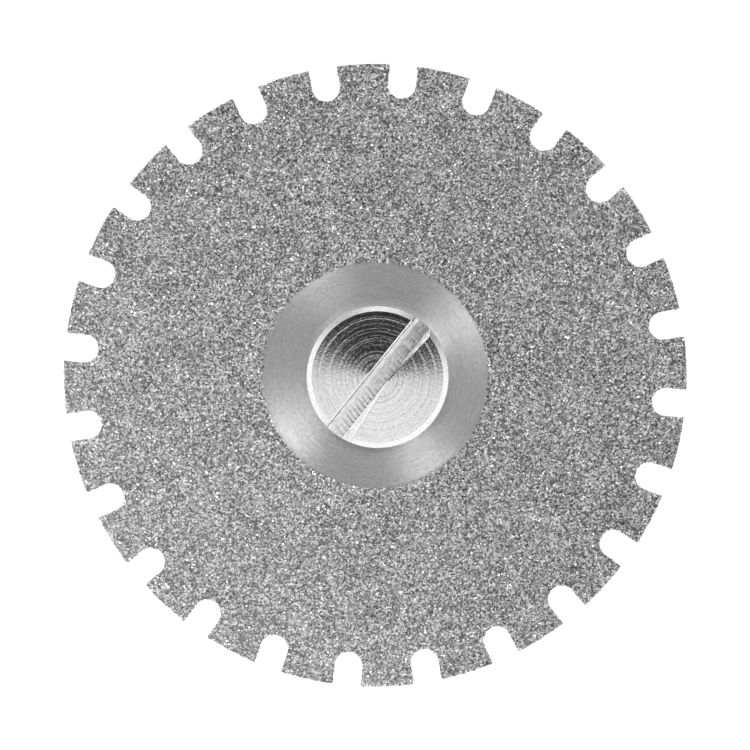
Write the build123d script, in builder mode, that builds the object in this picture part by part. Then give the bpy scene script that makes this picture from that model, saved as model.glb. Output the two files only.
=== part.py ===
from build123d import *

import os
from math import cos, radians, sin, tan

# Double-sided diamond disc, clamped on a straight handpiece mandrel by a slotted screw.
# Millimetres. Z is the spin axis, with the screw's head on top. z = 0 is where the
# ground stretch of the shank begins, just above the chamfer of its free end.

# Diamond disc
disc_diameter = 22.0  # over the coat
blank_thickness = 0.18  # the steel sheet alone
coat_thickness = 0.06  # grit in nickel, the same on faces, rim and slot walls
bare_margin = 1.5  # uncoated steel left showing round the screw's head
rim_slot_count = 24
rim_slot_width = 0.98  # between the coated walls
rim_slot_depth = 1.18  # from the coated rim to the coated bottom
rim_slot_start_angle = 9.74

# Clamp screw
clamp_diameter = 5.0  # the screw's head and the mandrel's flange alike
head_thickness = 1.0
head_chamfer = 0.18
dish_angle = 6.5  # fall of the dished face towards its middle
dish_flat_radius = 0.3  # where the dish ends in a flat, which the driver slot cuts away
thread_diameter = 1.4  # M1.4, its fine thread left plain
thread_length = 2.9
thread_lead_in = 0.2
pilot_step = 0.075  # the plain stem under the head stands this far outside the thread
pilot_reach = 0.35  # how far the plain stem goes into the mandrel

# Driver slot, cut by a saw whose teeth have one upright and one slanting side
saw_radius = 70.0
slot_angle = 51.1  # direction of the slot, from +X
slot_wall_offset = 0.3  # from the axis to the upright wall
slot_foot_offset = 0.36  # from the axis to the foot of the slanting wall
slot_sink = 0.005  # of the floor's lowest line below the dish's flat
slot_corner_width = 0.18  # shallow facet that falls towards the upright wall
slot_corner_fall = 0.018
slant_angle = 54.0  # of the slanting wall, from upright

# Mandrel
shank_diameter = 2.35  # the straight handpiece standard
shank_grip_length = 37.3  # the ground stretch that a collet holds
shank_end_chamfer = 0.5
neck_length = 4.0
neck_growth = 0.55  # of the radius, along the neck
flange_root_bevel = 0.35  # cone that runs the neck out into the flange
flange_thickness = 1.5
flange_edge_chamfer = 0.12

# Clearances
thread_clearance = 0.02  # radial, between the plain thread and its hole
pilot_clearance = 0.03  # radial, between the plain stem and its recess
hole_end_clearance = 0.4  # beyond the screw's tip
recess_end_clearance = 0.1  # beyond the plain stem
bore_play = 0.125  # radial, of the disc's bore on the plain stem
bore_contact_gap = 0.022  # what is left of that play on the side where the disc has slid up
bore_slide_angle = 141.0  # the way the disc has slid before it was clamped
drill_point_angle = 118.0

# Worked out from the above
seat_z = shank_grip_length + neck_length + flange_thickness
head_z = seat_z + blank_thickness
rim_z = head_z + head_thickness
disc_radius = disc_diameter / 2
blank_radius = disc_radius - coat_thickness
bare_radius = clamp_diameter / 2 + bare_margin
thread_radius = thread_diameter / 2
pilot_radius = thread_radius + pilot_step
bore_radius = pilot_radius + bore_play
disc_slide = bore_play - bore_contact_gap
disc_x = disc_slide * cos(radians(bore_slide_angle))
disc_y = disc_slide * sin(radians(bore_slide_angle))
disc_plane = Plane(origin=(disc_x, disc_y, seat_z))
coat_plane = Plane(origin=(disc_x, disc_y, seat_z - coat_thickness))

# Each rim slot is a round-ended slot that runs out through the rim.
slot_bottom_centre = disc_radius - rim_slot_depth + rim_slot_width / 2
slot_run = rim_slot_depth + rim_slot_width
slot_run_middle = slot_bottom_centre + slot_run / 2


def toothed_circle(radius, width):
    # a circle whose rim is cut by the open slots, for the sketch in hand
    Circle(radius)
    with PolarLocations(slot_run_middle, rim_slot_count, start_angle=rim_slot_start_angle):
        SlotCenterToCenter(slot_run, width, mode=Mode.SUBTRACT)


# Steel sheet, punched with its bore and its rim slots.
blank_slot_width = rim_slot_width + 2 * coat_thickness
with BuildPart() as disc_blank:
    with BuildSketch(disc_plane):
        toothed_circle(blank_radius, blank_slot_width)
        Circle(bore_radius, mode=Mode.SUBTRACT)
    extrude(amount=blank_thickness)

# Diamond coat, one skin over both faces, the rim and the slot walls.
with BuildPart() as diamond_coating:
    with BuildSketch(coat_plane):
        toothed_circle(disc_radius, rim_slot_width)
        Circle(bare_radius, mode=Mode.SUBTRACT)
    extrude(amount=blank_thickness + 2 * coat_thickness)
    with BuildSketch(disc_plane):
        toothed_circle(blank_radius, blank_slot_width)
    extrude(amount=blank_thickness, mode=Mode.SUBTRACT)

# Clamp screw, turned, with a dished head, a plain stem and the thread.
head_radius = clamp_diameter / 2
rim_radius = head_radius - head_chamfer
dish_fall = tan(radians(dish_angle))
dish_z = rim_z - (rim_radius - dish_flat_radius) * dish_fall
pilot_end_z = seat_z - pilot_reach
thread_end_z = pilot_end_z - thread_length

slant_growth = tan(radians(slant_angle))
slot_floor_z = dish_z - slot_sink
saw_height = head_thickness
saw_teeth = [
    (slot_wall_offset, saw_height),
    (slot_wall_offset, -slot_corner_fall),
    (slot_wall_offset - slot_corner_width, 0),
    (-slot_foot_offset, 0),
    (-slot_foot_offset - saw_height * slant_growth, saw_height),
]
across_slot = Vector(-sin(radians(slot_angle)), cos(radians(slot_angle)), 0)
along_slot = Vector(cos(radians(slot_angle)), sin(radians(slot_angle)), 0)
saw_plane = Plane(origin=(0, 0, slot_floor_z), x_dir=across_slot, z_dir=along_slot)
saw_axis = Axis((0, 0, slot_floor_z + saw_radius), across_slot)

with BuildPart() as clamp_screw:
    with BuildSketch(Plane.XZ):
        with BuildLine():
            Polyline(
                (0, dish_z),
                (dish_flat_radius, dish_z),
                (rim_radius, rim_z),
                (head_radius, rim_z - head_chamfer),
                (head_radius, head_z),
                (pilot_radius, head_z),
                (pilot_radius, pilot_end_z),
                (thread_radius, pilot_end_z),
                (thread_radius, thread_end_z + thread_lead_in),
                (thread_radius - thread_lead_in, thread_end_z),
                (0, thread_end_z),
                close=True,
            )
        make_face()
    revolve(axis=Axis.Z)
    with BuildSketch(saw_plane):
        with BuildLine():
            Polyline(*saw_teeth, close=True)
        make_face()
    revolve(axis=saw_axis, mode=Mode.SUBTRACT)

# Mandrel, turned: chamfered free end, ground shank, neck, flange and the tapped hole.
shank_radius = shank_diameter / 2
neck_radius = shank_radius + neck_growth
neck_end_z = shank_grip_length + neck_length
hole_radius = thread_radius + thread_clearance
recess_radius = pilot_radius + pilot_clearance
recess_end_z = pilot_end_z - recess_end_clearance
hole_end_z = thread_end_z - hole_end_clearance
hole_tip_z = hole_end_z - hole_radius / tan(radians(drill_point_angle / 2))
same_radius = 1e-6

with BuildPart() as mandrel:
    with BuildSketch(Plane.XZ):
        with BuildLine():
            Polyline(
                (0, -shank_end_chamfer),
                (shank_radius - shank_end_chamfer, -shank_end_chamfer),
                (shank_radius, 0),
                (shank_radius, shank_grip_length),
                (neck_radius, neck_end_z),
                (head_radius, neck_end_z),
                (head_radius, seat_z),
                (recess_radius, seat_z),
                (recess_radius, recess_end_z),
                (hole_radius, recess_end_z),
                (hole_radius, hole_end_z),
                (0, hole_tip_z),
                close=True,
            )
        make_face()
    revolve(axis=Axis.Z)
    flange_rings = mandrel.edges().filter_by(GeomType.CIRCLE)
    flange_rings = flange_rings.filter_by(lambda e: abs(e.radius - head_radius) < same_radius)
    chamfer(flange_rings, flange_edge_chamfer)
    neck_ring = mandrel.edges().filter_by(GeomType.CIRCLE)
    neck_ring = neck_ring.filter_by(lambda e: abs(e.radius - neck_radius) < same_radius)
    chamfer(neck_ring, flange_root_bevel)

os.makedirs("parts", exist_ok=True)
disc_blank.part.label = "disc_blank"
export_step(disc_blank.part, "parts/disc_blank.step")
diamond_coating.part.label = "diamond_coating"
export_step(diamond_coating.part, "parts/diamond_coating.step")
clamp_screw.part.label = "clamp_screw"
export_step(clamp_screw.part, "parts/clamp_screw.step")
mandrel.part.label = "mandrel"
export_step(mandrel.part, "parts/mandrel.step")
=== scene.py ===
from math import asin, cos, hypot, pi, radians, sin, sqrt, tan

import bmesh
import bpy
import numpy as np
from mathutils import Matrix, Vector


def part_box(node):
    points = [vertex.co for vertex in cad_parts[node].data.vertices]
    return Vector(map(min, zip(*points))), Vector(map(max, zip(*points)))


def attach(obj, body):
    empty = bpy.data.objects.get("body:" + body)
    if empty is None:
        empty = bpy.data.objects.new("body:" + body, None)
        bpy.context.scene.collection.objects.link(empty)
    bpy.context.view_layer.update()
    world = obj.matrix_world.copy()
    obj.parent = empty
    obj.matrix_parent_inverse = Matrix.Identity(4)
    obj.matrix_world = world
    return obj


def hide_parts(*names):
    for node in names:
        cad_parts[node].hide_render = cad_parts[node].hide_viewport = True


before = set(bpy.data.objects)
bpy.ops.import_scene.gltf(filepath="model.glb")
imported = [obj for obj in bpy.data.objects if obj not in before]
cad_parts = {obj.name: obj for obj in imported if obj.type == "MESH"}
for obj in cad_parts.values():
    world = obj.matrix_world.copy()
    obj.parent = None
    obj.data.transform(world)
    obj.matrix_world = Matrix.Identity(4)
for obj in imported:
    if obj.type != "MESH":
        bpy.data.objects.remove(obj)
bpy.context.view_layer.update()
mm = 0.001

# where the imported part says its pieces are
coatLow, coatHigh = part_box("diamond_coating")
blankLow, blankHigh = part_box("disc_blank")
screwLow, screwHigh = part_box("clamp_screw")
mandrelLow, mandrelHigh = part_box("mandrel")
discCentre = (coatLow + coatHigh) / 2
print("frame loaded: disc centre", [round(c / mm, 3) for c in discCentre])


# helpers for node trees and meshes

def nodeMaker(tree):
    # returns a function that adds one node, sets its values and links the sockets given as values
    def add(kind, inputs=None, **settings):
        node = tree.nodes.new(kind)
        for name, value in settings.items():
            setattr(node, name, value)
        for key, value in (inputs or {}).items():
            if isinstance(value, bpy.types.NodeSocket):
                tree.links.new(value, node.inputs[key])
            else:
                node.inputs[key].default_value = value
        return node
    return add


def calcMaker(add):
    # returns a function that adds one Math node and hands back its result
    def calc(operation, first, second=0.0, third=0.0):
        return add("ShaderNodeMath", {0: first, 1: second, 2: third}, operation=operation).outputs[0]
    return calc


def mapped(add, value, low, high, toLow, toHigh, smooth=False):
    kind = "SMOOTHSTEP" if smooth else "LINEAR"
    inputs = {"Value": value, "From Min": low, "From Max": high, "To Min": toLow, "To Max": toHigh}
    return add("ShaderNodeMapRange", inputs, interpolation_type=kind).outputs["Result"]


def newObject(name, mesh):
    piece = bpy.data.objects.new(name, mesh)
    bpy.context.scene.collection.objects.link(piece)
    return piece


def meshFrom(name, vertices, faces, weld=False):
    mesh = bpy.data.meshes.new(name)
    mesh.from_pydata(vertices, [], faces)
    shape = bmesh.new()
    shape.from_mesh(mesh)
    if weld:
        bmesh.ops.remove_doubles(shape, verts=shape.verts, dist=1e-8)
    bmesh.ops.recalc_face_normals(shape, faces=shape.faces)
    shape.to_mesh(mesh)
    shape.free()
    return mesh


def bakedDown(piece):
    # the evaluated piece as a plain mesh, with its modifiers gone
    graph = bpy.context.evaluated_depsgraph_get()
    mesh = bpy.data.meshes.new_from_object(piece.evaluated_get(graph))
    piece.modifiers.clear()
    piece.data = mesh
    return piece


def smoothed(piece):
    # smooth, with a sharp edge wherever faces meet at more than a few degrees
    piece.data.shade_smooth()
    piece.data.set_sharp_from_angle(angle=radians(5))


def tubeFaces(rings, around):
    # the faces of a run of rings, closed at both ends
    faces = []
    for first in range(0, (rings - 1) * around, around):
        for k in range(around):
            after = (k + 1) % around
            faces.append((first + k, first + after, first + around + after, first + around + k))
    last = (rings - 1) * around
    return faces + [tuple(range(around)), tuple(range(last, last + around))]


def lathe(name, profile, segments):
    # turns (radius, height) points round Z; a point on the axis becomes one pole
    vertices, rows, faces = [], [], []
    turn = 2 * pi / segments
    for radius, height in profile:
        row = [len(vertices)]
        if radius < 1e-9:
            vertices.append((0, 0, height))
        else:
            row = [len(vertices) + k for k in range(segments)]
            vertices += [(radius * cos(k * turn), radius * sin(k * turn), height) for k in range(segments)]
        rows.append(row)
    for upper, lower in zip(rows, rows[1:]):
        for k in range(segments):
            after = (k + 1) % segments
            ring = [upper[k % len(upper)], upper[after % len(upper)]]
            ring += [lower[after % len(lower)], lower[k % len(lower)]]
            corners = list(dict.fromkeys(ring))
            if len(corners) > 2:
                faces.append(corners)
    return meshFrom(name, vertices, faces)


# camera, as the photograph was taken: straight down on the disc

camera = {
    "photoWidth": 750,  # pixels
    "discRadius": 311.5,  # pixels
    "discAt": (374.8, 374.7),  # pixel of the disc's centre
    "distance": 500 * mm,  # far off, because the photograph shows no slot walls
}


def placeCamera():
    pixel = (coatHigh.x - coatLow.x) / 2 / camera["discRadius"]
    middle = (camera["photoWidth"] - 1) / 2
    right, down = (at - middle for at in camera["discAt"])
    lens = bpy.data.cameras.new("camera")
    lens.lens = lens.sensor_width * camera["distance"] / (camera["photoWidth"] * pixel)
    eye = newObject("camera", lens)
    eye.location = (discCentre.x - right * pixel, discCentre.y + down * pixel, coatHigh.z + camera["distance"])
    bpy.context.scene.camera = eye


# floor, world and lamps

studio = {
    "floorRadius": 60 * mm,
    "floorDrop": 0.8 * mm,  # below the shank's end, so that some light reaches the end
    "floorColour": 0.62,
    "floorGlow": 0.35,  # added for the camera, so that the floor reads as white paper
    "floorInMetal": 0.4,  # share of that glow which metal reflects
    "ceiling": 0.95,  # overhead, on the +Y side
    "ceilingGrowth": 0.6,  # brighter towards +Y
    "dark": 0.022,  # an unlit patch overhead, which blackens the upper half of the dish
    "darkFrom": 0.03,
    "darkTo": -0.13,
    "darkLean": 0.07,  # turns the patch's edge
    "overhead": (0.27, 0.38),  # where the ceiling gives way to the upper walls, as its distance from the zenith
    "upperWall": 0.45,
    "wall": 1.32,
    "wallTop": (0.12, 0.7),  # where the walls give way to the upper walls, as height
    "base": 0.7,  # below the horizon
    "baseTop": (-0.4, -0.08),  # where that gives way to the walls
    "wallGaps": ((44, 7.0, 0.66), (122, 9.0, 0.47), (232, 24.0, 0.24)),  # azimuth, narrowness, depth
    # azimuth, narrowness, light, and from where to where as height
    "windows": (
        (300, 38.0, 22.0, 0.39, 0.57), (301, 40.0, 2.8, 0.55, 0.88), (202, 40.0, 3.6, 0.55, 0.88),
        (34, 40.0, 6.4, 0.55, 0.88), (122, 40.0, 2.4, 0.55, 0.88), (141, 30.0, 0.35, 0.2, 0.42),
    ),
    "windowEdge": 0.04,
}


def buildWorld():
    world = bpy.data.worlds.new("studio")
    bpy.context.scene.world = world
    world.use_nodes = True
    tree = world.node_tree
    tree.nodes.clear()
    add = nodeMaker(tree)
    calc = calcMaker(add)

    def mix(share, first, second):
        return add("ShaderNodeMix", {0: share, 2: first, 3: second}, data_type="FLOAT").outputs[0]

    def lobe(azimuth, narrowness):
        # 1 towards an azimuth, falling to 0 beside it
        along = radians(azimuth)
        facing = calc("MULTIPLY_ADD", way["X"], cos(along), calc("MULTIPLY", way["Y"], sin(along)))
        return calc("POWER", calc("MAXIMUM", calc("DIVIDE", facing, calc("MAXIMUM", flat, 0.01)), 0.0), narrowness)

    way = add("ShaderNodeSeparateXYZ", {0: add("ShaderNodeTexCoord").outputs["Generated"]}).outputs
    level = add("ShaderNodeCombineXYZ", {0: way["X"], 1: way["Y"]}).outputs[0]
    flat = add("ShaderNodeVectorMath", {0: level}, operation="LENGTH").outputs["Value"]

    depth = calc("MULTIPLY_ADD", way["X"], studio["darkLean"], way["Y"])
    lit = mapped(add, depth, studio["darkTo"], studio["darkFrom"], 0.0, 1.0, smooth=True)
    white = calc("MULTIPLY_ADD", calc("MAXIMUM", depth, 0.0), studio["ceilingGrowth"], studio["ceiling"])
    beyond = mapped(add, flat, *studio["overhead"], 0.0, 1.0, smooth=True)
    upper = mix(beyond, mix(lit, studio["dark"], white), studio["upperWall"])

    walls = studio["wall"]
    for azimuth, narrowness, share in studio["wallGaps"]:
        walls = calc("MULTIPLY", walls, calc("MULTIPLY_ADD", lobe(azimuth, narrowness), -share, 1.0))
    risen = mapped(add, way["Z"], *studio["baseTop"], studio["base"] / studio["wall"], 1.0, smooth=True)
    walls = calc("MULTIPLY", walls, risen)
    sky = mix(mapped(add, way["Z"], *studio["wallTop"], 0.0, 1.0, smooth=True), walls, upper)

    edge = studio["windowEdge"]
    for azimuth, narrowness, light, low, high in studio["windows"]:
        above = mapped(add, way["Z"], low - edge, low + edge, 0.0, 1.0, smooth=True)
        below = mapped(add, way["Z"], high - edge, high + edge, 1.0, 0.0, smooth=True)
        pane = calc("MULTIPLY", calc("MULTIPLY", above, below), lobe(azimuth, narrowness))
        sky = calc("MULTIPLY_ADD", pane, light, sky)

    path = add("ShaderNodeLightPath").outputs
    plain = calc("MAXIMUM", path["Is Camera Ray"], path["Is Transmission Ray"])
    background = add("ShaderNodeBackground", {"Color": (1, 1, 1, 1), "Strength": mix(plain, sky, 1.0)})
    add("ShaderNodeOutputWorld", {"Surface": background.outputs[0]})


def buildFloor():
    shape = bmesh.new()
    bmesh.ops.create_circle(shape, cap_ends=True, segments=96, radius=studio["floorRadius"])
    bmesh.ops.translate(shape, verts=shape.verts, vec=(0, 0, mandrelLow.z - studio["floorDrop"]))
    mesh = bpy.data.meshes.new("floor")
    shape.to_mesh(mesh)
    shape.free()
    floor = newObject("floor", mesh)
    paper = bpy.data.materials.new("whitePaper")
    paper.use_nodes = True
    tree = paper.node_tree
    tree.nodes.clear()
    add = nodeMaker(tree)
    calc = calcMaker(add)
    colour = studio["floorColour"]
    sheet = add("ShaderNodeBsdfDiffuse", {"Color": (colour, colour, colour, 1)})
    path = add("ShaderNodeLightPath").outputs
    seen = calc("MAXIMUM", path["Is Camera Ray"], path["Is Transmission Ray"])
    seen = calc("MULTIPLY_ADD", path["Is Glossy Ray"], studio["floorInMetal"], seen)
    glow = add("ShaderNodeEmission", {"Strength": calc("MULTIPLY", seen, studio["floorGlow"])})
    lit = add("ShaderNodeAddShader", {0: sheet.outputs[0], 1: glow.outputs[0]})
    clear = add("ShaderNodeBsdfTransparent")
    under = add("ShaderNodeNewGeometry").outputs["Backfacing"]
    both = add("ShaderNodeMixShader", {0: under, 1: lit.outputs[0], 2: clear.outputs[0]})
    add("ShaderNodeOutputMaterial", {"Surface": both.outputs[0]})
    mesh.materials.append(paper)


def addLamp(name, azimuth, elevation, distance, width, brightness):
    # a square softbox that faces the disc; brightness 1 is as bright as white paper
    light = bpy.data.lights.new(name, "AREA")
    light.shape = "SQUARE"
    light.size = width
    light.energy = brightness * pi * width * width
    lamp = newObject(name, light)
    along, up = radians(azimuth), radians(elevation)
    away = Vector((cos(up) * cos(along), cos(up) * sin(along), sin(up)))
    lamp.location = discCentre + away * distance
    lamp.rotation_euler = away.to_track_quat("Z", "Y").to_euler()


lamps = {
    "sideLamp": dict(azimuth=220, elevation=26, distance=48 * mm, width=18 * mm, brightness=11.0),
}

placeCamera()
buildWorld()
buildFloor()
for lampName, lampValues in lamps.items():
    addLamp(lampName, **lampValues)
bpy.context.scene.view_settings.view_transform = "Standard"
print("camera, floor, world and lamps placed")


# finishes: every one is worked out from Object coordinates, so it stays with its piece

noiseSpan = (0.3, 0.7)  # where nearly all of a noise's values lie


def newFinish(name):
    finish = bpy.data.materials.new(name)
    finish.use_nodes = True
    tree = finish.node_tree
    tree.nodes.clear()
    add = nodeMaker(tree)
    shader = add("ShaderNodeBsdfPrincipled")
    add("ShaderNodeOutputMaterial", {"Surface": shader.outputs[0]})
    return finish, tree, add, calcMaker(add), shader


def turnedCoordinates(add, calc, centre):
    # radius in mm, the flat offset from the axis in mm, the way across the tool marks and the height
    place = add("ShaderNodeTexCoord").outputs["Object"]
    offset = add("ShaderNodeVectorMath", {0: place, 1: centre}, operation="SUBTRACT").outputs[0]
    flat = add("ShaderNodeVectorMath", {0: offset, 1: (1 / mm, 1 / mm, 0)}, operation="MULTIPLY").outputs[0]
    radius = add("ShaderNodeVectorMath", {0: flat}, operation="LENGTH").outputs["Value"]
    away = add("ShaderNodeVectorMath", {0: flat}, operation="NORMALIZE").outputs[0]
    around = add("ShaderNodeVectorMath", {0: (0, 0, 1), 1: away}, operation="CROSS_PRODUCT").outputs[0]
    normal = add("ShaderNodeNewGeometry").outputs["Normal"]
    across = add("ShaderNodeVectorMath", {0: normal, 1: around}, operation="CROSS_PRODUCT").outputs[0]
    height = calc("DIVIDE", add("ShaderNodeSeparateXYZ", {0: place}).outputs["Z"], mm)
    return radius, flat, across, height


def ringNoise(add, calc, depth, flat, fineness, streak, detail):
    # noise drawn out round the axis; fineness and streak are per mm, across and along the marks
    along = add("ShaderNodeVectorMath", {0: flat, 3: streak}, operation="SCALE").outputs[0]
    parts = add("ShaderNodeSeparateXYZ", {0: along}).outputs
    across = calc("MULTIPLY", depth, fineness)
    place = add("ShaderNodeCombineXYZ", {0: parts["X"], 1: parts["Y"], 2: across}).outputs[0]
    return add("ShaderNodeTexNoise", {"Vector": place, "Scale": 1.0, "Detail": detail}).outputs[0]


def grey(add, value, low, high, dark, light):
    # a grey between two tones, by a value
    tone = mapped(add, value, low, high, dark, light)
    return add("ShaderNodeCombineColor", {0: tone, 1: tone, 2: tone}).outputs[0]


def ringedSteel(name, centre, look):
    # steel with tool marks round its axis and specks over them
    finish, tree, add, calc, shader = newFinish(name)
    radius, flat, across, height = turnedCoordinates(add, calc, centre)
    depth = calc("MULTIPLY_ADD", height, look["heightShare"], radius)
    marks = ringNoise(add, calc, depth, flat, *look["marks"])
    specks = ringNoise(add, calc, depth, flat, *look["specks"])
    tone, relief = (
        calc("MULTIPLY_ADD", marks, 1 - share, calc("MULTIPLY", specks, share))
        for share in (look["speckShare"], look["speckRelief"])
    )
    tree.links.new(grey(add, tone, *noiseSpan, *look["greys"]), shader.inputs["Base Color"])
    tree.links.new(mapped(add, tone, *noiseSpan, *look["roughness"]), shader.inputs["Roughness"])
    tree.links.new(across, shader.inputs["Tangent"])
    bump = add("ShaderNodeBump", {"Height": relief, "Strength": look["bump"], "Distance": look["bumpDepth"]})
    tree.links.new(bump.outputs[0], shader.inputs["Normal"])
    shader.inputs["Metallic"].default_value = 1.0
    shader.inputs["Anisotropic"].default_value = look["anisotropy"]
    return finish


# disc blank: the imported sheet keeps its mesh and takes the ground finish

discBlank = {
    "steel": {
        # how fine across the marks and how short along them, both per mm, and the noise's detail
        "marks": (14.0, 1.2, 3.0),
        "specks": (14.0, 8.0, 2.0),
        "speckShare": 0.65,  # how much of the greys is specks
        "speckRelief": 0.65,  # and how much of the relief
        "heightShare": 0.0,  # how much the marks move with height
        "greys": (0.42, 0.6),  # darkest and palest
        "roughness": (0.3, 0.38),
        "bump": 0.2,
        "bumpDepth": 0.002 * mm,
        "anisotropy": 0.9,
    },
}


def dressBlank():
    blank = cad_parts["disc_blank"]
    blank.data.materials.clear()
    blank.data.materials.append(ringedSteel("groundSheet", discCentre, discBlank["steel"]))


dressBlank()
print("blank dressed")


# diamond coat: a nickel skin with its own grains standing in it

coat = {
    "slotCount": 24,
    "firstSlot": 9.74,  # degrees from +X
    "slotWidth": 0.98 * mm,  # between the grains' tops
    "slotDepth": 1.18 * mm,
    "bareRadius": 4.0 * mm,  # where the coat begins
    "bareWaver": 0.03 * mm,  # how unevenly it begins
    "bareSteps": 16,  # points of its edge from slot to slot
    "toothSteps": 7,  # points of half a tooth's rim
    "slotSteps": 17,  # points of a slot's round bottom
    "nickelThickness": 0.036 * mm,
    "grainSpacing": 0.056 * mm,
    "grainWidth": 0.088 * mm,
    "grainSizes": (0.7, 1.25),  # smallest and largest, as shares of that width
    # corners, and then foot radius, height and lift, all as shares of the grain's width
    "grainShapes": ((3, 0.55, 0.85, -0.25), (4, 0.6, 0.7, -0.22), (3, 0.6, 0.6, -0.28)),
    "grainMargin": 0.03 * mm,  # how far the faces' grains keep from the rim
    "rimSink": 0.01 * mm,  # how much deeper the rim's grains sit
    "grainSink": -0.012 * mm,  # a grain's middle from the nickel's face, at its deepest
    "grainRise": 0.006 * mm,  # and at its highest
    "crystalScale": 20 / mm,
    "crystalGreys": (0.26, 0.83),  # darkest and palest, as seen on a screen
    "grainGreys": (0.24, 0.9),
    "cloudScale": 0.9 / mm,
    "clouding": 0.03,
    "paintedLightSide": 222,  # degrees from +X, towards which the coat's grey rises a little: painted light, standing in for a nearer lamp on that side
    # the most that this painted light adds to the grey
    "paintedLight": 0.045,
    "seed": 7,
}
coatThickness = blankLow.z - coatLow.z
coatRadius = (coatHigh.x - coatLow.x) / 2
slotPitch = 2 * pi / coat["slotCount"]
slotBottomMiddle = coatRadius - coat["slotDepth"] + coat["slotWidth"] / 2


def coatGrey(add, calc, place, tone, dark, light, detail):
    # the grey of one crystal or grain, by its tone; the coat has soft clouds, and painted light that makes one
    # side paler
    clouds = add("ShaderNodeTexNoise", {"Vector": place, "Scale": coat["cloudScale"], "Detail": detail}).outputs[0]
    # painted light: the grey rises towards one side of the disc, as a nearer lamp on that side would raise it
    turn = radians(coat["paintedLightSide"])
    facing = (cos(turn) / coatRadius, sin(turn) / coatRadius, 0)
    side = add("ShaderNodeVectorMath", {0: place, 1: facing}, operation="DOT_PRODUCT").outputs["Value"]
    cloudy = mapped(add, clouds, *noiseSpan, -coat["clouding"], coat["clouding"])
    paintedLight = mapped(add, side, -0.3, 0.9, 0.0, coat["paintedLight"], smooth=True)
    own = calc("POWER", mapped(add, tone, 0.0, 1.0, dark, light), 2.2)
    return grey(add, calc("ADD", own, calc("ADD", cloudy, paintedLight)), 0.0, 1.0, 0.0, 1.0)


def nickelBond():
    finish, tree, add, calc, shader = newFinish("nickelBond")
    place = add("ShaderNodeTexCoord").outputs["Object"]
    crystals = add("ShaderNodeTexVoronoi", {"Vector": place, "Scale": coat["crystalScale"]}).outputs
    tone = add("ShaderNodeSeparateColor", {0: crystals["Color"]}).outputs[0]
    tree.links.new(coatGrey(add, calc, place, tone, *coat["crystalGreys"], 3.0), shader.inputs["Base Color"])
    tree.links.new(mapped(add, tone, 0.0, 1.0, 0.6, 0.45), shader.inputs["Roughness"])
    bump = add("ShaderNodeBump", {"Height": crystals["Distance"], "Strength": 0.6, "Distance": 0.02 * mm})
    tree.links.new(bump.outputs[0], shader.inputs["Normal"])
    shader.inputs["Metallic"].default_value = 0.9
    return finish


def diamondGrit():
    finish, tree, add, calc, shader = newFinish("diamondGrit")
    place = add("ShaderNodeTexCoord").outputs["Object"]
    tone = add("ShaderNodeAttribute", attribute_name="grainTone").outputs["Fac"]
    tree.links.new(coatGrey(add, calc, place, tone, *coat["grainGreys"], 4.0), shader.inputs["Base Color"])
    tree.links.new(mapped(add, tone, 0.0, 1.0, 0.55, 0.36), shader.inputs["Roughness"])
    shader.inputs["Metallic"].default_value = 0.35
    shader.inputs["IOR"].default_value = 1.8
    return finish


def turned(points, sector):
    # points of a slot on +X, turned to its sector and moved to the disc
    angle = radians(coat["firstSlot"]) + sector * slotPitch
    spun = [(x * cos(angle) - y * sin(angle), x * sin(angle) + y * cos(angle)) for x, y in points]
    return [(x + discCentre.x, y + discCentre.y) for x, y in spun]


def slotPath(sector, inset):
    # the rim from one tooth's middle to the next, round one slot, moved inwards by the inset
    rim = coatRadius - inset
    half = coat["slotWidth"] / 2 + inset
    corner = asin(half / rim)
    before = np.linspace(-slotPitch / 2, -corner, coat["toothSteps"])
    bend = np.linspace(-pi / 2, -3 * pi / 2, coat["slotSteps"])
    beyond = np.linspace(corner, slotPitch / 2, coat["toothSteps"])[:-1]
    local = [(rim * cos(a), rim * sin(a)) for a in before]
    local += [(slotBottomMiddle + half * cos(a), half * sin(a)) for a in bend]
    local += [(rim * cos(a), rim * sin(a)) for a in beyond]
    return turned(local, sector)


def bareArc(sector, waver):
    # the coat's inner edge over one sector, uneven as a plated edge is
    steps = coat["bareSteps"]
    angles = np.linspace(-slotPitch / 2, slotPitch / 2, steps, endpoint=False)
    radii = coat["bareRadius"] + waver[sector * steps:(sector + 1) * steps]
    return turned([(r * cos(a), r * sin(a)) for r, a in zip(radii, angles)], sector)


def coatLoops():
    random = np.random.default_rng(coat["seed"])
    waver = random.uniform(-1, 1, coat["bareSteps"] * coat["slotCount"]) * coat["bareWaver"]
    sectors = range(coat["slotCount"])
    nickel = [slotPath(s, coatThickness - coat["nickelThickness"]) for s in sectors]
    steel = [slotPath(s, coatThickness) for s in sectors]
    inner = [bareArc(s, waver) for s in sectors]
    return nickel, steel, inner


nickelLoop, steelLoop, bareLoop = coatLoops()
nickelTop = blankHigh.z + coat["nickelThickness"]
nickelBottom = blankLow.z - coat["nickelThickness"]


def sectorFace(outer, inner, sector):
    # one sector's face, from the coat's inner edge to the rim, as indices into the two loops
    count = coat["slotCount"]
    after = (sector + 1) % count
    rim = [(0, sector, k) for k in range(len(outer[sector]))] + [(0, after, 0)]
    edge = [(1, after, 0)] + [(1, sector, k) for k in reversed(range(len(inner[sector])))]
    return rim + edge


def flatSide(height, outer, inner, sectors):
    # faces at one height; returns points and faces
    points, faces, found = [], [], {}
    for sector in sectors:
        face = []
        for which, s, k in sectorFace(outer, inner, sector):
            if (which, s, k) not in found:
                found[which, s, k] = len(points)
                points.append((*(outer, inner)[which][s][k], height))
            face.append(found[which, s, k])
        faces.append(face)
    return points, faces


def wall(loops, low, high):
    # an upright wall along a closed run of loops
    run = [p for loop in loops for p in loop]
    points = [(*p, low) for p in run] + [(*p, high) for p in run]
    count = len(run)
    faces = [(k, (k + 1) % count, count + (k + 1) % count, count + k) for k in range(count)]
    return points, faces


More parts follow.
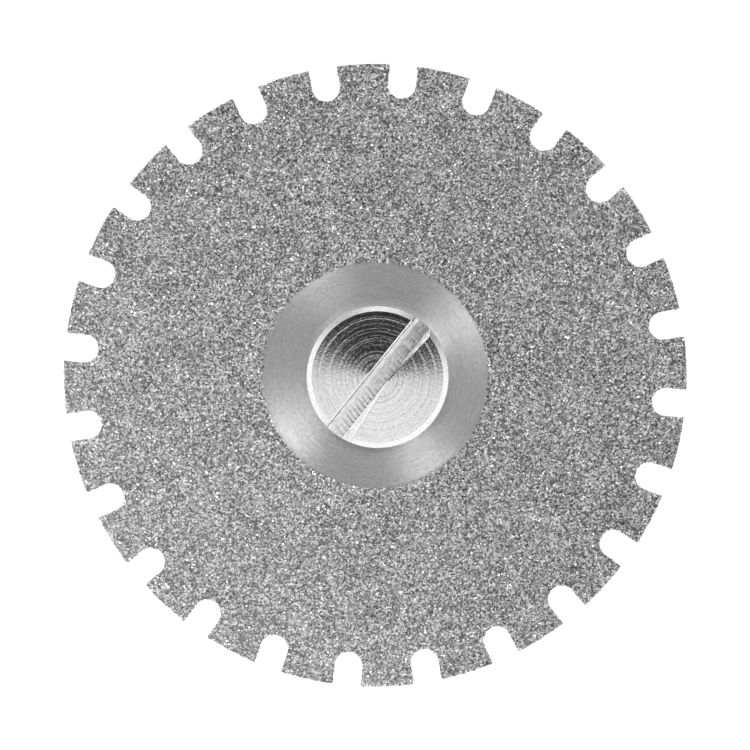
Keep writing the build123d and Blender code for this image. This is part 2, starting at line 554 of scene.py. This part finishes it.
def joined(parts):
    points, faces = [], []
    for partPoints, partFaces in parts:
        faces += [[i + len(points) for i in face] for face in partFaces]
        points += partPoints
    return points, faces


def nickelSkin():
    everySector = range(coat["slotCount"])
    parts = [
        flatSide(nickelTop, nickelLoop, bareLoop, everySector),
        flatSide(blankHigh.z, steelLoop, bareLoop, everySector),
        flatSide(blankLow.z, steelLoop, bareLoop, everySector),
        flatSide(nickelBottom, nickelLoop, bareLoop, everySector),
        wall(nickelLoop, nickelBottom, nickelTop),
        wall(steelLoop, blankLow.z, blankHigh.z),
        wall(bareLoop, blankHigh.z, nickelTop),
        wall(bareLoop, nickelBottom, blankLow.z),
    ]
    skin = newObject("coat_nickel", meshFrom("coatNickel", *joined(parts), weld=True))
    skin.data.materials.append(nickelBond())
    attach(skin, "root")
    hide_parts("diamond_coating")


def gritTree():
    # grains of three shapes, spread over a surface, each with its own tone and its own spot on the map
    tree = bpy.data.node_groups.new("gritOnSurface", "GeometryNodeTree")
    sockets = {}
    for name, kind in (
        ("Surface", "Geometry"), ("Spacing", "Float"), ("Grain width", "Float"), ("Sink", "Float"),
        ("Rise", "Float"), ("Seed", "Int"), ("Grit", "Material"),
    ):
        sockets[name] = tree.interface.new_socket(name, in_out="INPUT", socket_type="NodeSocket" + kind)
    tree.interface.new_socket("Geometry", in_out="OUTPUT", socket_type="NodeSocketGeometry")
    add = nodeMaker(tree)
    calc = calcMaker(add)
    given = add("NodeGroupInput").outputs

    shapes = add("GeometryNodeJoinGeometry")
    for corners, foot, depth, lift in coat["grainShapes"]:
        cone = {"Vertices": corners, "Radius Top": 0, "Radius Bottom": foot, "Depth": depth}
        shard = add("GeometryNodeMeshCone", cone).outputs["Mesh"]
        moved = add("GeometryNodeTransform", {"Geometry": shard, "Translation": (0, 0, lift)}).outputs[0]
        tree.links.new(add("GeometryNodeGeometryToInstance", {0: moved}).outputs[0], shapes.inputs[0])
    local = add("GeometryNodeInputPosition").outputs[0]
    marked = add(
        "GeometryNodeStoreNamedAttribute",
        {"Geometry": shapes.outputs[0], "Name": "spot", "Value": local},
        data_type="FLOAT_VECTOR",
        domain="POINT",
    )
    density = calc("DIVIDE", 2.0, calc("MULTIPLY", given["Spacing"], given["Spacing"]))
    spread = {"Mesh": given["Surface"], "Seed": given["Seed"]}
    spread.update({"Distance Min": given["Spacing"], "Density Max": density})
    points = add("GeometryNodeDistributePointsOnFaces", spread, distribute_method="POISSON")
    depths = {2: given["Sink"], 3: given["Rise"], "Seed": 1}
    lift = add("FunctionNodeRandomValue", depths, data_type="FLOAT").outputs[1]
    offset = add("ShaderNodeVectorMath", {0: points.outputs["Normal"], 3: lift}, operation="SCALE").outputs[0]
    placed = add("GeometryNodeSetPosition", {"Geometry": points.outputs["Points"], "Offset": offset}).outputs[0]
    fullTurns = {0: (0, 0, 0), 1: (2 * pi, 2 * pi, 2 * pi), "Seed": 2}
    spin = add("FunctionNodeRandomValue", fullTurns, data_type="FLOAT_VECTOR")
    lastShape = len(coat["grainShapes"]) - 1
    kind = add("FunctionNodeRandomValue", {4: 0, 5: lastShape, "Seed": 3}, data_type="INT")
    smallest, largest = coat["grainSizes"]
    growth = add("FunctionNodeRandomValue", {2: smallest, 3: largest, "Seed": 4}, data_type="FLOAT")
    size = calc("MULTIPLY", growth.outputs[1], given["Grain width"])
    grains = add(
        "GeometryNodeInstanceOnPoints",
        {
            "Points": placed, "Instance": marked.outputs[0], "Pick Instance": True,
            "Instance Index": kind.outputs[2], "Rotation": spin.outputs[0], "Scale": size,
        },
    ).outputs[0]
    tone = add("FunctionNodeRandomValue", {2: 0.0, 3: 1.0, "Seed": 5}, data_type="FLOAT").outputs[1]
    number = add("GeometryNodeInputIndex").outputs[0]
    total = add("GeometryNodeAttributeDomainSize", {0: grains}, component="INSTANCES").outputs["Instance Count"]
    for name, value in (("grainTone", tone), ("grainNumber", number)):
        grains = add(
            "GeometryNodeStoreNamedAttribute",
            {"Geometry": grains, "Name": name, "Value": value},
            data_type="FLOAT",
            domain="INSTANCE",
        ).outputs[0]
    real = add("GeometryNodeRealizeInstances", {0: grains}).outputs[0]
    across = calc("CEIL", calc("SQRT", total))
    which = add("GeometryNodeInputNamedAttribute", {"Name": "grainNumber"}, data_type="FLOAT").outputs[0]
    spot = add("GeometryNodeInputNamedAttribute", {"Name": "spot"}, data_type="FLOAT_VECTOR").outputs[0]
    spot = add("ShaderNodeSeparateXYZ", {0: spot}).outputs
    column = calc("MODULO", which, across)
    row = calc("FLOOR", calc("DIVIDE", which, across))
    u = calc("DIVIDE", calc("MULTIPLY_ADD", spot["X"], 0.6, calc("ADD", column, 0.5)), across)
    v = calc("DIVIDE", calc("MULTIPLY_ADD", spot["Y"], 0.6, calc("ADD", row, 0.5)), across)
    mapPlace = add("ShaderNodeCombineXYZ", {0: u, 1: v}).outputs[0]
    real = add(
        "GeometryNodeStoreNamedAttribute",
        {"Geometry": real, "Name": "OFBake", "Value": mapPlace},
        data_type="FLOAT2",
        domain="CORNER",
    ).outputs[0]
    real = add("GeometryNodeSetMaterial", {"Geometry": real, "Material": given["Grit"]}).outputs[0]
    add("NodeGroupOutput", {0: real})
    return tree, {name: socket.identifier for name, socket in sockets.items()}


def addGrit(name, surface, deeper, seed, tree, identifiers, finish):
    grit = newObject(name, meshFrom(name, *surface))
    modifier = grit.modifiers.new("grit", "NODES")
    modifier.node_group = tree
    modifier[identifiers["Spacing"]] = coat["grainSpacing"]
    modifier[identifiers["Grain width"]] = coat["grainWidth"]
    modifier[identifiers["Sink"]] = coat["grainSink"] - deeper
    modifier[identifiers["Rise"]] = coat["grainRise"] - deeper
    modifier[identifiers["Seed"]] = seed
    modifier[identifiers["Grit"]] = finish
    bakedDown(grit)
    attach(grit, "root")
    print(name, "has", len(grit.data.polygons), "faces")


def gritPieces():
    tree, identifiers = gritTree()
    finish = diamondGrit()
    half = coat["slotCount"] // 2
    halves = {"left": range(half, 2 * half), "right": range(half)}
    seed = coat["seed"]
    inset = coatThickness - coat["nickelThickness"] + coat["grainMargin"]
    gritLoop = [slotPath(s, inset) for s in range(2 * half)]
    for side, height in (("front", nickelTop), ("back", nickelBottom)):
        for halfName, sectors in halves.items():
            points, faces = flatSide(height, gritLoop, bareLoop, sectors)
            if side == "back":
                faces = [face[::-1] for face in faces]
            seed += 1
            addGrit(f"grit_{side}_{halfName}", (points, faces), 0.0, seed, tree, identifiers, finish)
    rim = wall(nickelLoop, nickelBottom, nickelTop)
    addGrit("grit_rim", rim, coat["rimSink"], seed + 1, tree, identifiers, finish)


nickelSkin()
gritPieces()
print("coat made")


# clamp screw: turned head with a dished face, then the sawn driver slot

clampScrew = {
    "headRadius": 2.5 * mm,
    "headChamfer": 0.18 * mm,
    "dishAngle": 6.5,
    "dishFlat": 0.3 * mm,  # radius of the flat in the dish's middle
    "pilotRadius": 0.775 * mm,
    "pilotReach": 0.35 * mm,  # below the disc
    "threadRadius": 0.7 * mm,
    "leadIn": 0.2 * mm,
    "segments": 200,
    "dishStep": 0.01 * mm,
    "feedMark": 0.15 * mm,  # the lathe's feed, from ring to ring
    "feedSlope": 1.4,  # degrees
    "feedWander": (3.0, 3 / mm),  # how far and how fast the feed drifts on the way out
    # rings that lean outwards and catch the light: radius and width in mm, slope in degrees
    "lightRings": (
        (0.41, 0.018, 6.5), (0.49, 0.022, 7.5), (0.57, 0.018, 6.5), (0.65, 0.024, 8.0), (0.78, 0.028, 8.5),
        (0.86, 0.02, 6.0), (0.95, 0.026, 6.6), (1.08, 0.03, 6.2), (1.22, 0.03, 3.8), (1.38, 0.05, 3.6),
        (1.73, 0.042, 6.0), (2.06, 0.048, 5.5), (2.24, 0.03, 3.6),
    ),
    "steel": {
        "marks": (14.0, 0.9, 3.0),
        "specks": (12.0, 12.0, 2.0),
        "speckShare": 0.7,
        "speckRelief": 0.7,
        "heightShare": -0.6,
        "greys": (0.62, 0.88),
        "roughness": (0.07, 0.13),
        "bump": 0.8,
        "bumpDepth": 0.006 * mm,
        "anisotropy": 0.3,
    },
}
driverSlot = {
    "sawRadius": 70 * mm,
    "angle": 51.1,  # degrees from +X
    "halfWidth": 0.3 * mm,  # from the axis to the upright wall
    "foot": 0.36 * mm,  # from the axis to the foot of the slanting wall
    "sink": 0.005 * mm,  # of the floor below the dish's flat
    "cornerWidth": 0.18 * mm,
    "cornerFall": 0.018 * mm,
    "cornerRound": 0.038 * mm,  # a narrow strip right beside the wall, which falls away from it
    "crown": 34.0,  # how fast the floor falls to the foot, per metre
    "slantAngle": 54.0,
    "slantLoss": 0.42,  # share of the slanting wall's width that the upper half lacks
    "slantTurn": (-0.3 * mm, 0.8 * mm),  # from where to where along the slot it goes
    "reach": 2.9 * mm,
    "step": 0.0165 * mm,
    "markPitch": 0.168 * mm,
    "markRun": 0.07 * mm,  # length of a mark's shaded side
    "markDepth": 0.0042 * mm,
    "markLean": -0.3,  # how far a mark runs along the slot for each step across it
    "markFrom": -2.3 * mm,
    "markTo": -0.42 * mm,  # beyond it the marks are faint, up to the other end
    "markSpread": (0.82, 1.2),  # smallest and largest share of the pitch
    "fullMark": (0.6, 1.15),  # smallest and largest share of the depth
    "faintMark": (0.1, 0.5),
    "fullReach": (0.02 * mm, 0.14 * mm),  # how far a mark reaches towards the upright wall
    "faintReach": (-0.2 * mm, 0.05 * mm),
    "markFade": 0.08 * mm,
    "markSeed": 4,
    "lineScale": (3.5 / mm, 22 / mm, 0),  # of the fine lines that the saw drew along the slot
    "lineGreys": (0.56, 0.99),
    "lineRoughness": (0.14, 0.22),
    # raised edges that the saw left: beside which wall, from and to along the slot, radius and
    # shift towards the upright wall, all in mm, then the tone
    "burrs": {
        "upperBurr": ("upright", 0.0, 2.3, 0.028, 0.02, 0.5),
        "leftBurr": ("upright", -2.3, 0.0, 0.028, 0.014, 0.68),
        "lowerBurr": ("slanting", -2.2, -0.2, 0.038, -0.012, 0.98),
        # its near-black tone is painted shade: a dark shadow line along the slanting wall's edge
        "rolledEdgePaintedShade": ("slanting", 0.15, 1.1, 0.026, 0.008, 0.08),
    },
}
rimRadius = clampScrew["headRadius"] - clampScrew["headChamfer"]
dishSlope = tan(radians(clampScrew["dishAngle"]))
dishMiddle = screwHigh.z - (rimRadius - clampScrew["dishFlat"]) * dishSlope
slotFloor = dishMiddle - driverSlot["sink"]


def sawnSteel():
    finish, tree, add, calc, shader = newFinish("sawnSteel")
    place = add("ShaderNodeTexCoord").outputs["Object"]
    turn = (0, 0, -radians(driverSlot["angle"]))
    laid = add("ShaderNodeMapping", {"Vector": place, "Rotation": turn}).outputs[0]
    drawn = add("ShaderNodeMapping", {"Vector": laid, "Scale": driverSlot["lineScale"]}).outputs[0]
    lines = add("ShaderNodeTexNoise", {"Vector": drawn, "Scale": 1.0, "Detail": 2.0}).outputs[0]
    tree.links.new(grey(add, lines, *noiseSpan, *driverSlot["lineGreys"]), shader.inputs["Base Color"])
    tree.links.new(mapped(add, lines, *noiseSpan, *driverSlot["lineRoughness"]), shader.inputs["Roughness"])
    bump = add("ShaderNodeBump", {"Height": lines, "Strength": 0.3, "Distance": 0.003 * mm})
    tree.links.new(bump.outputs[0], shader.inputs["Normal"])
    shader.inputs["Metallic"].default_value = 1.0
    return finish


def burrMetal(name, tone):
    finish, tree, add, calc, shader = newFinish(name)
    # metal of the given tone; the rolled edge's near-black tone paints a shadow line
    shader.inputs["Base Color"].default_value = (tone, tone, tone, 1)
    shader.inputs["Metallic"].default_value = 1.0
    shader.inputs["Roughness"].default_value = 0.3
    return finish


def dishProfile():
    # the dished face from its middle outwards, with the lathe's rings in it
    s = clampScrew
    steps = int(round((rimRadius - s["dishFlat"]) / s["dishStep"]))
    r = np.linspace(s["dishFlat"], rimRadius, steps + 1)
    far, fast = s["feedWander"]
    slope = tan(radians(s["feedSlope"])) * np.sin(2 * pi * r / s["feedMark"] + far * np.sin(fast * r))
    for ring, width, steep in s["lightRings"]:
        # leans outwards at its radius, and a quarter as much inwards over four times the width
        t = (r / mm - ring) / width
        slope -= tan(radians(steep)) * (np.exp(-t * t) - np.exp(-t * t / 16) / 4)
    rings = np.concatenate([[0], np.cumsum((slope[1:] + slope[:-1]) / 2 * np.diff(r))])
    rings -= np.linspace(0, rings[-1], steps + 1)
    heights = dishMiddle + (r - s["dishFlat"]) * dishSlope + rings
    return [(0, dishMiddle)] + list(zip(r, heights))


def screwProfile():
    s = clampScrew
    stemEnd = blankLow.z - s["pilotReach"]
    tip = screwLow.z
    profile = dishProfile()
    profile += [
        (s["headRadius"], screwHigh.z - s["headChamfer"]),
        (s["headRadius"], blankHigh.z),
        (s["pilotRadius"], blankHigh.z),
        (s["pilotRadius"], stemEnd),
        (s["threadRadius"], stemEnd),
        (s["threadRadius"], tip + s["leadIn"]),
        (s["threadRadius"] - s["leadIn"], tip),
        (0, tip),
    ]
    return profile


def sawTooth():
    # the saw's outline across the slot: (to the side, above the floor)
    s = driverSlot
    top = 1 * mm
    side, fall = s["halfWidth"], s["cornerFall"]
    outline = [(side, top), (side, -0.7 * fall), (side - s["cornerRound"], -fall)]
    for x in np.linspace(side - s["cornerWidth"], -s["foot"], 10):
        outline.append((x, -s["crown"] * min(x - side + s["cornerWidth"], 0.0) ** 2))
    outline.append((-s["foot"] - top * tan(radians(s["slantAngle"])), top))
    return outline


def slantWidth(along):
    # share of the slanting wall's width at a place along the slot
    start, end = driverSlot["slantTurn"]
    t = min(max((along - start) / (end - start), 0.0), 1.0)
    return 1 - driverSlot["slantLoss"] * t * t * (3 - 2 * t)


def sawMarks():
    # places where the saw's teeth left crosswise marks, each with its depth and how far across it reaches
    s = driverSlot
    random = np.random.default_rng(s["markSeed"])
    places = [s["markFrom"]]
    while places[-1] < -s["markFrom"]:
        places.append(places[-1] + s["markPitch"] * random.uniform(*s["markSpread"]))
    marks = []
    for place in places:
        kind = "full" if place < s["markTo"] else "faint"
        marks.append((place, random.uniform(*s[kind + "Mark"]), random.uniform(*s[kind + "Reach"])))
    return marks


def markHeight(along, side, marks):
    # each mark climbs over its run and sinks back slowly before the next
    s = driverSlot
    for (place, strength, reach), (after, *_) in zip(marks, marks[1:]):
        depth = strength * s["markDepth"] * min(max((reach - side) / s["markFade"], 0.0), 1.0)
        if place <= along < place + s["markRun"]:
            return depth * (along - place) / s["markRun"]
        if place + s["markRun"] <= along < after:
            return depth * (after - along) / (after - place - s["markRun"])
    return 0.0


def onSlot(along, side, height):
    # the point at a place along the slot, to its side and at a height
    turn = radians(driverSlot["angle"])
    return (along * cos(turn) - side * sin(turn), along * sin(turn) + side * cos(turn), height)


def sawCutter():
    s = driverSlot
    outline = sawTooth()
    marks = sawMarks()
    rings = int(round(2 * s["reach"] / s["step"])) + 1
    points = []
    for along in np.linspace(-s["reach"], s["reach"], rings):
        swing = asin(along / s["sawRadius"])
        for number, (side, rise) in enumerate(outline):
            low = rise
            if 3 <= number <= len(outline) - 3:
                low += markHeight(along + s["markLean"] * side, side, marks)
            if number == len(outline) - 1:
                side = -s["foot"] + (side + s["foot"]) * slantWidth(along)
            x = (s["sawRadius"] - low) * sin(swing)
            z = slotFloor + s["sawRadius"] - (s["sawRadius"] - low) * cos(swing)
            points.append(onSlot(x, side, z))
    cutter = newObject("sawCutter", meshFrom("sawCutter", points, tubeFaces(rings, len(outline))))
    cutter.data.materials.append(sawnSteel())
    return cutter


def dishHeight(along, side):
    return dishMiddle + max(0.0, hypot(along, side) - clampScrew["dishFlat"]) * dishSlope


def slotEdge(along, wallKind):
    # how far to the side the slot's edge is, at a place along it
    s = driverSlot
    if wallKind == "upright":
        return s["halfWidth"]
    side = -s["foot"]
    for _ in range(6):
        depth = dishHeight(along, side) - slotFloor - along ** 2 / (2 * s["sawRadius"])
        side = -s["foot"] - max(0.0, depth) * tan(radians(s["slantAngle"])) * slantWidth(along)
    return side


def burr(name, wallKind, start, end, radius, shift, tone):
    # the thin raised edge beside the slot, as a closed tube that stops at the dish's rim
    outer = max(start, end, key=abs)
    reach = sqrt(rimRadius ** 2 - slotEdge(outer * mm, wallKind) ** 2)
    around, rings = 8, 90
    points = []
    for along in np.linspace(max(start * mm, -reach), min(end * mm, reach), rings):
        side = slotEdge(along, wallKind) + shift * mm
        height = dishHeight(along, side)
        for a in np.linspace(0, 2 * pi, around, endpoint=False):
            points.append(onSlot(along, side + radius * mm * cos(a), height + radius * mm * sin(a)))
    bead = newObject(name, meshFrom(name, points, tubeFaces(rings, around)))
    bead.data.materials.append(burrMetal(name, tone))
    return bead


def combine(screw, other, operation):
    step = screw.modifiers.new(other.name, "BOOLEAN")
    step.operation = operation
    step.solver = "EXACT"
    step.object = other
    step.material_mode = "TRANSFER"
    bakedDown(screw)
    bpy.data.objects.remove(other)


def makeScrew():
    screw = newObject("clamp_screw_turned", lathe("clampScrew", screwProfile(), clampScrew["segments"]))
    screw.data.materials.append(ringedSteel("turnedSteel", (0, 0, 0), clampScrew["steel"]))
    combine(screw, sawCutter(), "DIFFERENCE")
    for name, values in driverSlot["burrs"].items():
        combine(screw, burr(name, *values), "UNION")
    smoothed(screw)
    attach(screw, "root")
    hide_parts("clamp_screw")
    print("screw has", len(screw.data.polygons), "faces")


makeScrew()


# mandrel: ground shank, neck, flange and the tapped hole

mandrelShape = {
    "shankRadius": 1.175 * mm,
    "endChamfer": 0.5 * mm,
    "neckLength": 4.0 * mm,
    "neckGrowth": 0.55 * mm,
    "flangeRadius": 2.5 * mm,
    "flangeThickness": 1.5 * mm,
    "edgeChamfer": 0.12 * mm,
    "rootBevel": 0.35 * mm,
    "recessRadius": 0.805 * mm,
    "recessDepth": 0.45 * mm,
    "holeRadius": 0.72 * mm,
    "holeBeyondTip": 0.4 * mm,
    "drillPoint": 118,  # degrees
    "segments": 160,
    "steel": {
        "marks": (1.2, 0.7, 3.0),
        "specks": (14.0, 1.3, 3.0),
        "speckShare": 0.6,
        "speckRelief": 1.0,
        "heightShare": -0.6,
        "greys": (0.5, 0.62),
        "roughness": (0.2, 0.32),
        "bump": 0.2,
        "bumpDepth": 0.004 * mm,
        "anisotropy": 0.6,
    },
}


def mandrelProfile():
    m = mandrelShape
    bottom, seat = mandrelLow.z, mandrelHigh.z
    neckTop = seat - m["flangeThickness"]
    neckFoot = neckTop - m["neckLength"]
    neck = m["shankRadius"] + m["neckGrowth"]
    slope = m["neckGrowth"] / m["neckLength"]
    edge, bevel = m["edgeChamfer"], m["rootBevel"]
    holeEnd = screwLow.z - m["holeBeyondTip"]
    return [
        (0, bottom),
        (m["shankRadius"] - m["endChamfer"], bottom),
        (m["shankRadius"], bottom + m["endChamfer"]),
        (m["shankRadius"], neckFoot),
        (neck - slope * bevel, neckTop - bevel),
        (neck + bevel, neckTop),
        (m["flangeRadius"] - edge, neckTop),
        (m["flangeRadius"], neckTop + edge),
        (m["flangeRadius"], seat - edge),
        (m["flangeRadius"] - edge, seat),
        (m["recessRadius"], seat),
        (m["recessRadius"], seat - m["recessDepth"]),
        (m["holeRadius"], seat - m["recessDepth"]),
        (m["holeRadius"], holeEnd),
        (0, holeEnd - m["holeRadius"] / tan(radians(m["drillPoint"] / 2))),
    ]


def makeMandrel():
    mandrel = newObject("mandrel_turned", lathe("mandrel", mandrelProfile(), mandrelShape["segments"]))
    mandrel.data.materials.append(ringedSteel("groundShank", (0, 0, 0), mandrelShape["steel"]))
    smoothed(mandrel)
    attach(mandrel, "root")
    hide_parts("mandrel")


makeMandrel()
print("mandrel made")
